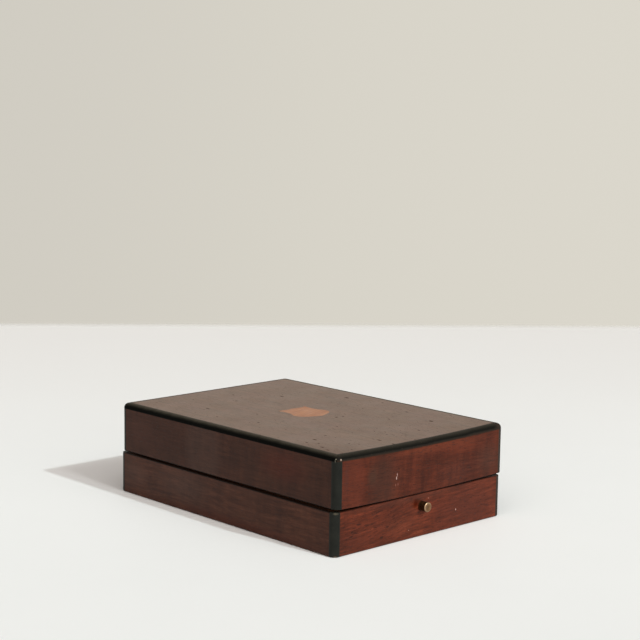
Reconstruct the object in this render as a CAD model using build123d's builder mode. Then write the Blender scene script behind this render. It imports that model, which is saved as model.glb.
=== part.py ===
from build123d import *
from math import cos, radians, sin
import os

os.makedirs("parts", exist_ok=True)

# Frame: millimetres, +Z up, origin at the centre of the base's underside.
# -Y is the short front side with the push button, +Y the hinge side.

# Case
box_width = 158.0
box_depth = 224.0
base_height = 28.8
lid_height = 34.6
wall = 7.0
bottom_thickness = 5.0
bottom_rebate = 2.5
top_board_thickness = 6.0
lining_thickness = 0.8
lining_clearance = 0.2
lining_glue = 0.05

# Black edging strips, let in at the corners and along the lid's top edges
edging = 4.8
edging_depth = 3.8
edging_radius = 4.2
top_radius = 3.4
rim_ease = 0.4
foot_ease = 0.8
stock_margin = 1.5

# Seam between the halves. The lid is warped: its rim all but touches the base in the middle of
# the front, and stands off at the front corners and at the hinges.
seam_back = 1.0
seam_front_corner = 1.7
seam_front_middle = 0.4
lid_shift = 1.25

# Shield inlay, let in a little off the lid's centre
shield_width = 30.0
shield_height = 32.0
shield_thickness = 1.2
shield_to_right = 1.9
shield_to_back = 3.8

# Hinges
hinge_length = 26.0
hinge_from_side = 21.0
hinge_axis_behind = 2.3
knuckle_radius = 2.0
knuckle_count = 5
knuckle_gap = 0.1
knuckle_clearance = 0.15
pin_radius = 1.0
pin_clearance = 0.05
pin_overhang = 0.5
leaf_thickness = 0.9
leaf_reach = 5.8
leaf_gap = 0.2
open_angle = 105.0
lug_radius = 3.8
lug_gap_angle = 1.0
lug_back_angle = 100.0

# Screws
screw_clearance = 0.05
slot_width = 0.45
slot_depth = 0.35
hinge_screw_head = 1.55
hinge_screw_shank = 0.8
hinge_screw_length = 6.0
hinge_screw_pitch = 8.6
hinge_screw_inset = 3.1
catch_screw_head = 1.5
catch_screw_shank = 0.75
catch_screw_length = 5.0

# Push button
button_radius = 3.25
button_proud = 5.8
button_below_rim = 8.3
button_bore_clearance = 0.08
button_end_chamfer = 0.3
button_rim = 0.75
button_dish_depth = 0.35
collar_radius = 4.6
collar_thickness = 1.2
collar_clearance = 0.4
collar_stop_gap = 0.05
collar_end_gap = 0.55
stem_radius = 1.5
button_travel = 1.8

# Catch: spring leaf on the base, hook on its free end, keeper on the lid
spring_width = 9.0
spring_thickness = 0.7
spring_foot_low = 6.6
spring_joggle_low = 14.2
spring_joggle_high = 17.6
spring_screw_low = 8.8
spring_screw_high = 12.4
hook_width = 7.0
hook_height = 5.0
hook_reach = 1.9
hook_nose_thickness = 0.8
hook_cap = 1.0
hook_gap = 0.3
rivet_radius = 0.7
rivet_head_radius = 1.1
rivet_head_height = 0.35
rivet_spacing = 3.6
rivet_clearance = 0.05
keeper_width = 16.0
keeper_height = 9.5
keeper_thickness = 0.8
keeper_above_rim = 0.9
keeper_ledge_reach = 1.3
keeper_ledge_thickness = 1.0
keeper_screw_spacing = 10.0
keeper_screw_inset = 2.6

# Derived places
half_width = box_width / 2
half_depth = box_depth / 2
past = edging + stock_margin
hinge_x = half_width - hinge_from_side - hinge_length / 2
axis_y = half_depth + hinge_axis_behind
axis_z = base_height + seam_back / 2
button_z = base_height - button_below_rim
button_shoulder_depth = wall - collar_end_gap - button_travel - collar_thickness - collar_stop_gap
front_inside = -half_depth + wall
keeper_face = front_inside + keeper_thickness
hook_tip = keeper_face + keeper_ledge_reach + hook_gap
spring_front = hook_tip + hook_reach
spring_back = spring_front + spring_thickness
keeper_low = base_height + seam_front_middle + keeper_above_rim
hook_low = keeper_low + keeper_ledge_thickness + hook_gap
hook_high = hook_low + hook_height
node_parts = []


def keep(part, name):
    """Labels a finished piece and remembers it for writing."""
    part.label = name
    node_parts.append(part)


def warp_limit(height, upwards):
    """The space beyond the lid's warped level that lies this high over its rim."""
    run = half_width + past
    sag = (seam_front_corner - seam_front_middle) * (run / half_width) ** 2
    level = base_height + height
    far = level + (lid_height if upwards else -lid_height)
    front = Plane(origin=(lid_shift, -half_depth - past, 0), x_dir=(1, 0, 0), z_dir=(0, -1, 0))
    back = Plane(origin=(lid_shift, half_depth + past, 0), x_dir=(1, 0, 0), z_dir=(0, -1, 0))
    middle = level + seam_front_middle
    with BuildPart() as space:
        with BuildSketch(front):
            with BuildLine():
                ThreePointArc((-run, middle + sag), (0, middle), (run, middle + sag))
                Polyline((run, middle + sag), (run, far), (-run, far), (-run, middle + sag))
            make_face()
        with BuildSketch(back):
            with BuildLine():
                flat = level + seam_back
                Polyline((-run, flat), (run, flat), (run, far), (-run, far), close=True)
            make_face()
        loft(ruled=True)
    return space.part


def wall_outline(side):
    """Plan of one mitred wall with the corner rebates for the edging, as a list of points."""
    run, across = (half_width, half_depth) if side in ("front", "back") else (half_depth, half_width)
    sign = 1 if side in ("back", "right") else -1
    outer = sign * (across + past)
    rebate = sign * (across - edging)
    inner = sign * (across - wall)
    points = [
        (-(run - edging), outer),
        (run - edging, outer),
        (run - edging, rebate),
        (run - wall, inner),
        (-(run - wall), inner),
        (-(run - edging), rebate),
    ]
    return points if side in ("front", "back") else [(y, x) for x, y in points]


def edging_outline(side):
    """Plan of one top edging strip, mitred at both ends, as a list of points."""
    run, across = (half_width, half_depth) if side in ("front", "back") else (half_depth, half_width)
    sign = 1 if side in ("back", "right") else -1
    points = [
        (-(run + past), sign * (across + past)),
        (run + past, sign * (across + past)),
        (run - edging, sign * (across - edging)),
        (-(run - edging), sign * (across - edging)),
    ]
    return points if side in ("front", "back") else [(y, x) for x, y in points]


def corner_centre(depth_side, width_side):
    """Centre of the square, twice the edging wide, that holds one corner strip."""
    x = half_width if width_side == "right" else -half_width
    y = half_depth if depth_side == "back" else -half_depth
    return x, y


def screw_group(heads, head_radius, shank_radius, length):
    """Countersunk screws with slotted heads. Each plane lies on a head and faces out of it."""
    with BuildPart() as group:
        for turn, head in enumerate(heads):
            section = Plane(origin=head.origin, x_dir=head.x_dir, z_dir=head.x_dir.cross(head.z_dir))
            with BuildSketch(section):
                with BuildLine():
                    Polyline(
                        (0, 0),
                        (head_radius, 0),
                        (shank_radius, shank_radius - head_radius),
                        (shank_radius, -length + shank_radius),
                        (0, -length),
                        close=True,
                    )
                make_face()
            revolve(axis=Axis(head.origin, head.z_dir))
            with BuildSketch(head):
                Rectangle(2.2 * head_radius, slot_width, rotation=25 + 55 * turn)
            extrude(amount=-slot_depth, mode=Mode.SUBTRACT)
    return group.part


def polar_point(radius, degrees):
    """Point round the hinge axis, seen along -X, with 0 degrees pointing away from the box."""
    return axis_y + radius * cos(radians(degrees)), axis_z + radius * sin(radians(degrees))


def lug_sector(inner_radius, start, end):
    """Section of a stop lug, between two angles round the hinge axis."""
    angles = (start, (start + end) / 2, end)
    with BuildSketch() as sector:
        with BuildLine():
            ThreePointArc(*[polar_point(inner_radius, angle) for angle in angles])
            ThreePointArc(*[polar_point(lug_radius, angle) for angle in angles])
            Line(polar_point(inner_radius, start), polar_point(lug_radius, start))
            Line(polar_point(inner_radius, end), polar_point(lug_radius, end))
        make_face()
    return sector.sketch


def hinge_heads(centre_x, upwards):
    """Planes on the three screw heads of one leaf."""
    face = axis_z - leaf_gap / 2 if upwards else axis_z + leaf_gap / 2
    normal = (0, 0, 1) if upwards else (0, 0, -1)
    pitch = (-hinge_screw_pitch, 0, hinge_screw_pitch)
    y = half_depth - hinge_screw_inset
    return [Plane(origin=(centre_x + x, y, face), x_dir=(1, 0, 0), z_dir=normal) for x in pitch]


def hinge_leaf(centre_x, on_base):
    """One leaf with its own knuckles and the lug that stops the lid when it is open."""
    sign = -1 if on_base else 1
    station = hinge_length / knuckle_count
    low = axis_z - leaf_gap / 2 - leaf_thickness if on_base else axis_z + leaf_gap / 2
    inner_y = half_depth - leaf_reach
    clear_y = axis_y - knuckle_radius - knuckle_clearance
    first = 0 if on_base else 1
    starts = [centre_x - hinge_length / 2 + i * station for i in range(first, knuckle_count, 2)]
    lug_ends = sign * (open_angle + lug_gap_angle) / 2, sign * lug_back_angle
    lug = lug_sector(knuckle_radius + knuckle_clearance, *lug_ends)
    lug_root = lug_sector(pin_radius + pin_clearance, *lug_ends)
    with BuildPart() as leaf:
        with BuildSketch(Plane.XY.offset(low)):
            with Locations((centre_x, inner_y)):
                Rectangle(hinge_length, clear_y - inner_y, align=(Align.CENTER, Align.MIN))
        extrude(amount=leaf_thickness)
        with BuildSketch(Plane.YZ.offset(centre_x - hinge_length / 2)):
            add(lug)
        extrude(amount=hinge_length)
        for start in starts:
            own = start + knuckle_gap / 2
            length = station - knuckle_gap
            with BuildSketch(Plane.XY.offset(low)):
                with Locations((own, inner_y)):
                    Rectangle(length, axis_y - inner_y, align=Align.MIN)
            extrude(amount=leaf_thickness)
            with BuildSketch(Plane.YZ.offset(own)):
                with Locations((axis_y, axis_z)):
                    Circle(knuckle_radius)
                add(lug_root)
            extrude(amount=length)
        with BuildSketch(Plane.YZ.offset(centre_x - hinge_length / 2)):
            with Locations((axis_y, axis_z)):
                Circle(pin_radius + pin_clearance)
        extrude(amount=hinge_length, mode=Mode.SUBTRACT)
        with Locations(*hinge_heads(centre_x, on_base)):
            CounterSinkHole(hinge_screw_shank + screw_clearance, hinge_screw_head + screw_clearance)
    return leaf.part


def hinge_pin(centre_x):
    """A plain pin with rounded ends, through all the knuckles."""
    length = hinge_length + 2 * pin_overhang
    with BuildPart() as pin:
        with BuildSketch(Plane.YZ.offset(centre_x - length / 2)):
            with Locations((axis_y, axis_z)):
                Circle(pin_radius)
        extrude(amount=length)
        fillet(pin.edges().filter_by(GeomType.CIRCLE), pin_overhang * 0.9)
    return pin.part


def mortise(centre_x, low, height):
    """Pocket for the plate of one hinge leaf, open at the back."""
    with BuildPart() as pocket:
        with BuildSketch(Plane.XY.offset(low)):
            with Locations((centre_x, half_depth - leaf_reach)):
                Rectangle(hinge_length, leaf_reach + past, align=(Align.CENTER, Align.MIN))
        extrude(amount=height)
    return pocket.part


# Form of the base: upright corners rounded for the edging, rim and foot eased
with BuildPart() as base_form:
    with BuildSketch():
        Rectangle(box_width, box_depth)
    extrude(amount=base_height)
    fillet(base_form.edges().filter_by(Axis.Z), edging_radius)
    fillet(base_form.faces().sort_by(Axis.Z)[-1].edges(), rim_ease)
    fillet(base_form.faces().sort_by(Axis.Z)[0].edges(), foot_ease)

# Form of the lid: the same plan, warped top and rim, rounded top edges
above_top = warp_limit(lid_height, upwards=True)
below_rim = warp_limit(0, upwards=False)
above_sides = warp_limit(lid_height - edging_depth, upwards=True)
below_edging = warp_limit(lid_height - edging_depth, upwards=False)
below_board = warp_limit(lid_height - top_board_thickness, upwards=False)
lining_top = lid_height - top_board_thickness - lining_glue
above_lining = warp_limit(lining_top, upwards=True)
below_lining = warp_limit(lining_top - lining_thickness, upwards=False)
below_inlay = warp_limit(lid_height - shield_thickness, upwards=False)
lid_plan = Plane(origin=(lid_shift, 0, base_height))
lid_stock = lid_height + 2 * seam_front_corner
with BuildPart() as lid_form:
    with BuildSketch(lid_plan):
        Rectangle(box_width, box_depth)
    extrude(amount=lid_stock)
    fillet(lid_form.edges().filter_by(Axis.Z), edging_radius)
    add(above_top, mode=Mode.SUBTRACT)
    fillet(lid_form.faces().sort_by(Axis.Z)[-1].edges(), top_radius)
    add(below_rim, mode=Mode.SUBTRACT)
    fillet(lid_form.faces().sort_by(Axis.Z)[0].edges(), rim_ease)

# Screw places
hinge_centres = {"left": -hinge_x, "right": hinge_x}
base_hinge_heads = [head for x in hinge_centres.values() for head in hinge_heads(x, True)]
lid_hinge_heads = [head for x in hinge_centres.values() for head in hinge_heads(x, False)]
spring_heads = [
    Plane(origin=(0, front_inside + spring_thickness, z), x_dir=(1, 0, 0), z_dir=(0, 1, 0))
    for z in (spring_screw_low, spring_screw_high)
]
keeper_heads = [
    Plane(
        origin=(x, keeper_face, keeper_low + keeper_height - keeper_screw_inset),
        x_dir=(1, 0, 0),
        z_dir=(0, 1, 0),
    )
    for x in (-keeper_screw_spacing / 2, keeper_screw_spacing / 2)
]

# Base: bottom board
with BuildPart() as base_bottom_board:
    with BuildSketch():
        Rectangle(box_width - 2 * (wall - bottom_rebate), box_depth - 2 * (wall - bottom_rebate))
    extrude(amount=bottom_thickness)
keep(base_bottom_board.part, "base_bottom_board")

# Base: walls, mitred, with a rebate for the bottom board
button_plane = Plane(origin=(0, -half_depth, button_z), x_dir=(1, 0, 0), z_dir=(0, -1, 0))
mortise_low = axis_z - leaf_gap / 2 - leaf_thickness
for side in ("front", "back", "left", "right"):
    pockets = [mortise(x, mortise_low, base_height) for x in hinge_centres.values()]
    with BuildPart() as base_wall:
        add(base_form.part)
        with BuildSketch():
            Polygon(*wall_outline(side), align=None)
        extrude(amount=base_height, mode=Mode.INTERSECT)
        add(base_bottom_board.part, mode=Mode.SUBTRACT)
        if side == "front":
            with BuildSketch(button_plane):
                Circle(button_radius + button_bore_clearance)
            extrude(amount=-wall, mode=Mode.SUBTRACT)
            with BuildSketch(button_plane.offset(-button_shoulder_depth)):
                Circle(collar_radius + collar_clearance)
            extrude(amount=-wall, mode=Mode.SUBTRACT)
            with Locations(*spring_heads):
                Hole(catch_screw_shank + screw_clearance, catch_screw_length)
        if side == "back":
            for pocket in pockets:
                add(pocket, mode=Mode.SUBTRACT)
            with Locations(*base_hinge_heads):
                Hole(hinge_screw_shank + screw_clearance, hinge_screw_length)
    keep(base_wall.part, f"base_{side}_wall")

# Lid: shield inlay, top board and edging strips
shield_plan = Plane(origin=(lid_shift + shield_to_right, shield_to_back, base_height))
with BuildPart() as shield_inlay:
    add(lid_form.part)
    with BuildSketch(shield_plan):
        with BuildLine():
            half_shield = shield_width / 2
            tall = shield_height / 2
            ear = (0.86 * half_shield, tall)
            waist = (0.80 * half_shield, 0.31 * tall)
            hip = (0.93 * half_shield, -0.02 * tall)
            foot = (0.73 * half_shield, -0.71 * tall)
            ThreePointArc((0, 0.98 * tall), (0.42 * half_shield, 0.91 * tall), ear)
            ThreePointArc(ear, (0.81 * half_shield, 0.71 * tall), waist)
            ThreePointArc(waist, (0.84 * half_shield, 0.14 * tall), hip)
            ThreePointArc(hip, (half_shield, -0.30 * tall), foot)
            ThreePointArc(foot, (0.37 * half_shield, -0.86 * tall), (0, -tall))
            mirror(about=Plane.YZ)
        make_face()
    extrude(amount=lid_stock, mode=Mode.INTERSECT)
    add(below_inlay, mode=Mode.SUBTRACT)
keep(shield_inlay.part, "shield_inlay")

with BuildPart() as lid_top_board:
    add(lid_form.part)
    with BuildSketch(lid_plan):
        Rectangle(box_width - 2 * edging, box_depth - 2 * edging)
    extrude(amount=lid_stock, mode=Mode.INTERSECT)
    add(below_board, mode=Mode.SUBTRACT)
    add(shield_inlay.part, mode=Mode.SUBTRACT)
keep(lid_top_board.part, "lid_top_board")

for side in ("front", "back", "left", "right"):
    with BuildPart() as top_edging:
        add(lid_form.part)
        with BuildSketch(lid_plan):
            Polygon(*edging_outline(side), align=None)
        extrude(amount=lid_stock, mode=Mode.INTERSECT)
        add(below_edging, mode=Mode.SUBTRACT)
    keep(top_edging.part, f"lid_top_edging_{side}")

# Lid: walls, mitred, rebated under the top board
lid_mortise_high = axis_z + leaf_gap / 2 + leaf_thickness
with BuildPart() as board_space:
    with BuildSketch(lid_plan):
        Rectangle(box_width - 2 * edging, box_depth - 2 * edging)
    extrude(amount=lid_stock)
    add(below_board, mode=Mode.SUBTRACT)
for side in ("front", "back", "left"):
    pockets = [mortise(x, lid_mortise_high - lid_height, lid_height) for x in hinge_centres.values()]
    with BuildPart() as lid_wall:
        add(lid_form.part)
        with BuildSketch(lid_plan):
            Polygon(*wall_outline(side), align=None)
        extrude(amount=lid_stock, mode=Mode.INTERSECT)
        add(above_sides, mode=Mode.SUBTRACT)
        add(board_space.part, mode=Mode.SUBTRACT)
        if side == "front":
            with Locations(*keeper_heads):
                Hole(catch_screw_shank + screw_clearance, catch_screw_length)
        if side == "back":
            for pocket in pockets:
                add(pocket, mode=Mode.SUBTRACT)
            with Locations(*lid_hinge_heads):
                Hole(hinge_screw_shank + screw_clearance, hinge_screw_length)
    keep(lid_wall.part, f"lid_{side}_wall")
with BuildPart() as lid_right_wall:
    mirror(lid_wall.part, about=Plane.YZ.offset(lid_shift))
keep(lid_right_wall.part, "lid_right_wall")

# Upright corner edging strips of both halves
for depth_side in ("front", "back"):
    for width_side in ("left", "right"):
        with BuildPart() as base_corner:
            add(base_form.part)
            with BuildSketch():
                with Locations(corner_centre(depth_side, width_side)):
                    Rectangle(2 * edging, 2 * edging)
            extrude(amount=base_height, mode=Mode.INTERSECT)
            add(base_bottom_board.part, mode=Mode.SUBTRACT)
        keep(base_corner.part, f"base_corner_edging_{depth_side}_{width_side}")
        with BuildPart() as lid_corner:
            add(lid_form.part)
            with BuildSketch(lid_plan):
                with Locations(corner_centre(depth_side, width_side)):
                    Rectangle(2 * edging, 2 * edging)
            extrude(amount=lid_stock, mode=Mode.INTERSECT)
            add(above_sides, mode=Mode.SUBTRACT)
        keep(lid_corner.part, f"lid_corner_edging_{depth_side}_{width_side}")

# Linings
lining_width = box_width - 2 * wall - 2 * lining_clearance
lining_depth = box_depth - 2 * wall - 2 * lining_clearance
with BuildPart() as base_floor_lining:
    with BuildSketch(Plane.XY.offset(bottom_thickness)):
        Rectangle(lining_width, lining_depth)
    extrude(amount=lining_thickness)
keep(base_floor_lining.part, "base_floor_lining")

with BuildPart() as lid_lining:
    with BuildSketch(lid_plan):
        Rectangle(lining_width, lining_depth)
    extrude(amount=lid_stock)
    add(above_lining, mode=Mode.SUBTRACT)
    add(below_lining, mode=Mode.SUBTRACT)
keep(lid_lining.part, "lid_lining")

# Hinges
for name, centre_x in hinge_centres.items():
    keep(hinge_leaf(centre_x, on_base=True), f"hinge_{name}_base_leaf")
    keep(hinge_leaf(centre_x, on_base=False), f"hinge_{name}_lid_leaf")
    keep(hinge_pin(centre_x), f"hinge_{name}_pin")
hinge_screw = (hinge_screw_head, hinge_screw_shank, hinge_screw_length)
keep(screw_group(base_hinge_heads, *hinge_screw), "hinge_base_screws")
keep(screw_group(lid_hinge_heads, *hinge_screw), "hinge_lid_screws")

# Push button: dished head, body in the bore, collar behind the shoulder, stem to the spring
with BuildPart() as push_button:
    turning = Plane(origin=(0, -half_depth, button_z), x_dir=(0, -1, 0), z_dir=(-1, 0, 0))
    collar_front = -button_shoulder_depth - collar_stop_gap
    stem_end = -half_depth - spring_front
    with BuildSketch(turning):
        with BuildLine():
            Polyline(
                (stem_end, 0),
                (stem_end, stem_radius),
                (collar_front - collar_thickness, stem_radius),
                (collar_front - collar_thickness, collar_radius),
                (collar_front, collar_radius),
                (collar_front, button_radius),
                (button_proud, button_radius),
                (button_proud, 0),
                close=True,
            )
        make_face()
    revolve(axis=Axis((0, 0, button_z), (0, 1, 0)))
    chamfer(push_button.faces().sort_by(Axis.Y)[0].edges(), button_end_chamfer)
    dish_radius = button_radius - button_rim
    ball_radius = (dish_radius ** 2 + button_dish_depth ** 2) / (2 * button_dish_depth)
    with Locations((0, -half_depth - button_proud + button_dish_depth - ball_radius, button_z)):
        Sphere(ball_radius, mode=Mode.SUBTRACT)
keep(push_button.part, "push_button")

# Catch spring: flat foot on the wall, joggled inwards, straight up past the rim
spring_section = [
    (front_inside, spring_foot_low),
    (front_inside, spring_joggle_low),
    (spring_front, spring_joggle_high),
    (spring_front, hook_high),
    (spring_back, hook_high),
    (spring_back, spring_joggle_high),
    (front_inside + spring_thickness, spring_joggle_low),
    (front_inside + spring_thickness, spring_foot_low),
]
rivet_places = [
    Plane(origin=(x, spring_back, (hook_low + hook_high) / 2), x_dir=(1, 0, 0), z_dir=(0, 1, 0))
    for x in (-rivet_spacing / 2, rivet_spacing / 2)
]
with BuildPart() as catch_spring:
    with BuildSketch(Plane.YZ.offset(-spring_width / 2)):
        Polygon(*spring_section, align=None)
    extrude(amount=spring_width)
    with Locations(*spring_heads):
        CounterSinkHole(catch_screw_shank + screw_clearance, catch_screw_head + screw_clearance)
    with Locations(*rivet_places):
        Hole(rivet_radius + rivet_clearance, 2 * spring_thickness)
keep(catch_spring.part, "catch_spring")
keep(
    screw_group(spring_heads, catch_screw_head, catch_screw_shank, catch_screw_length),
    "catch_spring_screws",
)

# Hook: a sloped nose that looks over the keeper's ledge, riveted to the spring
hook_root = spring_front - hook_cap
with BuildPart() as catch_hook:
    with BuildSketch(Plane.YZ.offset(-hook_width / 2)):
        Polygon(
            (spring_front, hook_low),
            (hook_tip, hook_low),
            (hook_tip, hook_low + hook_nose_thickness),
            (hook_root, hook_high),
            (spring_front, hook_high),
            align=None,
        )
    extrude(amount=hook_width)
    with Locations(*rivet_places):
        Hole(rivet_radius + rivet_clearance, 2 * wall)
keep(catch_hook.part, "catch_hook")

with BuildPart() as catch_hook_rivets:
    for place in rivet_places:
        with BuildSketch(place):
            Circle(rivet_head_radius)
        extrude(amount=rivet_head_height)
        with BuildSketch(place):
            Circle(rivet_radius)
        extrude(amount=-(spring_thickness + hook_cap))
    fillet(
        catch_hook_rivets.faces().sort_by(Axis.Y)[-len(rivet_places):].edges(),
        0.8 * rivet_head_height,
    )
keep(catch_hook_rivets.part, "catch_hook_rivets")

# Keeper on the lid's front wall, with the ledge that the hook holds
with BuildPart() as keeper_plate:
    with BuildSketch(Plane.XY.offset(keeper_low)):
        with Locations((0, front_inside)):
            Rectangle(keeper_width, keeper_thickness, align=(Align.CENTER, Align.MIN))
    extrude(amount=keeper_height)
    with BuildSketch(Plane.XY.offset(keeper_low)):
        with Locations((0, keeper_face)):
            Rectangle(keeper_width, keeper_ledge_reach, align=(Align.CENTER, Align.MIN))
    extrude(amount=keeper_ledge_thickness)
    with Locations(*keeper_heads):
        CounterSinkHole(catch_screw_shank + screw_clearance, catch_screw_head + screw_clearance)
keep(keeper_plate.part, "keeper_plate")
keep(
    screw_group(keeper_heads, catch_screw_head, catch_screw_shank, catch_screw_length),
    "keeper_screws",
)

for part in node_parts:
    export_step(part, f"parts/{part.label}.step")
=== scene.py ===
from math import cos, pi, radians, sin

import bpy
from mathutils import Matrix, Vector


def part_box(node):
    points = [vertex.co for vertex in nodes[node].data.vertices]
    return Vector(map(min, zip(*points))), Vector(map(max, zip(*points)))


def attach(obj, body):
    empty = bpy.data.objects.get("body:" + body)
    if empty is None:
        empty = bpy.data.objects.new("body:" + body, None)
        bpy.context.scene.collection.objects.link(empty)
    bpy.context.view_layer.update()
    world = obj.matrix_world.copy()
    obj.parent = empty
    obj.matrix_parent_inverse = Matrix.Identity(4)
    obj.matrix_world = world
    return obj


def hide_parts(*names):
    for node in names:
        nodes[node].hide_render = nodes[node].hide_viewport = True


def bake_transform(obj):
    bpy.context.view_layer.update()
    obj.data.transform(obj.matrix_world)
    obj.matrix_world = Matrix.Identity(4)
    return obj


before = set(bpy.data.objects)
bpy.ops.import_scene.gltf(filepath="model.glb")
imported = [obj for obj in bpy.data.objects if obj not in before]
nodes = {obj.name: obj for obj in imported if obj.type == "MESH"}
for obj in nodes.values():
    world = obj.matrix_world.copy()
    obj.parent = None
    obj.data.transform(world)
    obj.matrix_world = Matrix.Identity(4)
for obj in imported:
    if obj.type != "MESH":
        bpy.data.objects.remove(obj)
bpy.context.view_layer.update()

MM = 0.001
HALVES = ("base", "lid")
SIDES = ("front", "back", "left", "right")
LONG_SIDES = ("left", "right")
CORNERS = [f"{depth}_{width}" for depth in ("front", "back") for width in ("left", "right")]

# Sizes of the box, read from the frame, in millimetres
base_low, base_high = (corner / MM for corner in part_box("base_front_wall"))
lid_low, lid_high = (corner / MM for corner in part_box("lid_top_edging_left"))
strip_low, strip_high = (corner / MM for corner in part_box("base_corner_edging_front_left"))
strip_width = strip_high.x - strip_low.x
half_width = -strip_low.x
half_depth = -base_low.y
rim = base_high.z
lid_shift = lid_low.x + half_width
top = lid_high.z
front_skin = -half_depth
left_skin = -half_width
lid_left_skin = left_skin + lid_shift

# Gap of the seam at the middle and the corners of the front, and along the back, in millimetres
SEAM_MIDDLE, SEAM_CORNER, SEAM_BACK = 0.4, 1.7, 1.0


def srgb(red, green, blue):
    """A colour as it looks on a screen, 0 to 255, as the light values that a shader takes."""
    light = [value / 255 for value in (red, green, blue)]
    return tuple(v / 12.92 if v <= 0.04045 else ((v + 0.055) / 1.055) ** 2.4 for v in light) + (1.0,)


class Value:
    """What a node gives. Arithmetic on one that is a number adds Math nodes."""

    def __init__(self, shading, socket):
        self.shading = shading
        self.socket = socket

    def maths(self, operation, *inputs):
        return self.shading.node("ShaderNodeMath", {"operation": operation}, dict(enumerate(inputs)))

    def __add__(self, other):
        return self.maths("ADD", self, other)

    def __sub__(self, other):
        return self.maths("SUBTRACT", self, other)

    def __rsub__(self, other):
        return self.maths("SUBTRACT", other, self)

    def __mul__(self, other):
        return self.maths("MULTIPLY", self, other)

    def __truediv__(self, other):
        return self.maths("DIVIDE", self, other)

    def __abs__(self):
        return self.maths("ABSOLUTE", self)

    __radd__ = __add__
    __rmul__ = __mul__

    def larger(self, other):
        return self.maths("MAXIMUM", self, other)

    def smaller(self, other):
        return self.maths("MINIMUM", self, other)

    def sine(self):
        return self.maths("SINE", self)


class Shading:
    """The nodes of one material or of the world."""

    def __init__(self, owner):
        owner.use_nodes = True
        self.tree = owner.node_tree
        self.tree.nodes.clear()

    def node(self, kind, settings, sockets, output=0):
        """Adds a node, its settings first and then its sockets, and gives one of its outputs."""
        made = self.tree.nodes.new(kind)
        for name, setting in settings.items():
            if name == "stops":
                self.set_stops(made.color_ramp.elements, setting)
            else:
                setattr(made, name, setting)
        for name, value in sockets.items():
            if isinstance(value, Value):
                self.tree.links.new(value.socket, made.inputs[name])
            else:
                made.inputs[name].default_value = value
        return Value(self, made.outputs[output]) if made.outputs else None

    @staticmethod
    def set_stops(elements, stops):
        while len(elements) < len(stops):
            elements.new(1.0)
        for element, (position, colour) in zip(elements, stops):
            element.position = position
            element.color = colour

    def vectors(self, operation, first, second):
        """Vector Math that gives a vector."""
        return self.node("ShaderNodeVectorMath", {"operation": operation}, {0: first, 1: second})

    def length(self, vector):
        return self.node("ShaderNodeVectorMath", {"operation": "LENGTH"}, {0: vector}, "Value")

    def along(self, vector, direction):
        """How far a vector goes in a direction."""
        sockets = {0: vector, 1: direction}
        return self.node("ShaderNodeVectorMath", {"operation": "DOT_PRODUCT"}, sockets, "Value")

    def step(self, value, start, end):
        """0 at the start, 1 at the end and smooth between them. The end may be the smaller one."""
        limits = {"Value": value, "From Min": start, "From Max": end}
        return self.node("ShaderNodeMapRange", {"interpolation_type": "SMOOTHSTEP"}, limits)

    def ramp(self, value, *stops):
        """Colours by value, as (position, colour) stops."""
        return self.node("ShaderNodeValToRGB", {"stops": stops}, {0: value})

    def mixed(self, factor, first, second):
        """Blends two shaders by a factor."""
        return self.node("ShaderNodeMixShader", {}, {0: factor, 1: first, 2: second})


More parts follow.
